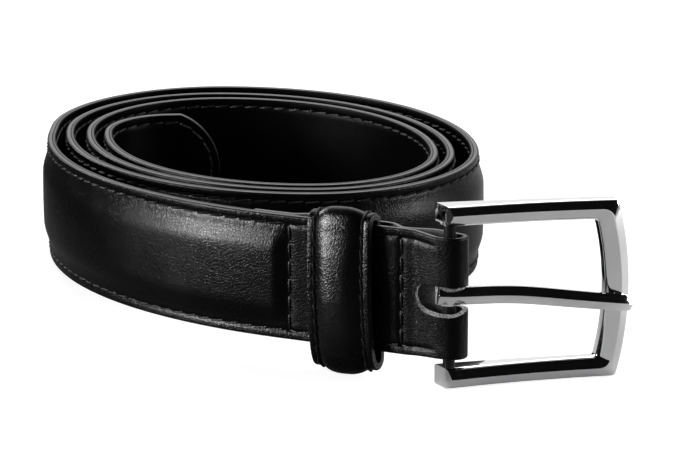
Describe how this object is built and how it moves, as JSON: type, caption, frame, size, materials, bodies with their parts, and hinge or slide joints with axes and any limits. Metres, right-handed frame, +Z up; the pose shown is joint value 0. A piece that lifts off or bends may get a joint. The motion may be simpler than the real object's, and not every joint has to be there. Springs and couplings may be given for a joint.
{
  "type": "leather belt",
  "caption": "Padded dress belt, coiled on edge: stitched leather strap with rounded tip, sliding keeper, and a pin buckle whose frame and prong turn on one bar.",
  "frame": {"origin": "centre of the belt's own box, on the surface it stands on", "axes": "+Z up across the upright strap, -Y towards the buckle end, +X towards the end of the buckle"},
  "size_m": [0.156, 0.1868, 0.0464],
  "materials": {
    "face_leather": "black full-grain leather, polished to a soft shine",
    "lining_leather": "black lining leather, plain and less shiny",
    "padding": "bonded leather board, hidden inside",
    "polished_metal": "bright plated, mirror polished",
    "plain_steel": "plain steel pin"
  },
  "bodies": {
    "strap": {"strap_face": "face_leather", "strap_lining": "lining_leather"},
    "keeper": {"keeper_face": "face_leather", "keeper_filler": "padding", "keeper_lining": "lining_leather"},
    "buckle": {"buckle_frame": "polished_metal", "buckle_bar": "plain_steel"},
    "prong": {"prong": "polished_metal"}
  },
  "joints": [
    {"name": "keeper_slide", "type": "slide", "parent": "strap", "child": "keeper", "axis": [0.891, -0.4533, 0.0255], "range_m": [-0.0038, 0.0024]},
    {"name": "buckle_swing", "type": "hinge", "parent": "strap", "child": "buckle", "pos_m": [0.0326, -0.08835, 0.02327], "axis": [0, 0.0562, 0.9984], "range_deg": [-60, 35]},
    {"name": "prong_swing", "type": "hinge", "parent": "buckle", "child": "prong", "pos_m": [0.0326, -0.08835, 0.02327], "axis": [0, 0.0562, 0.9984], "range_deg": [-100, 0]}
  ]
}
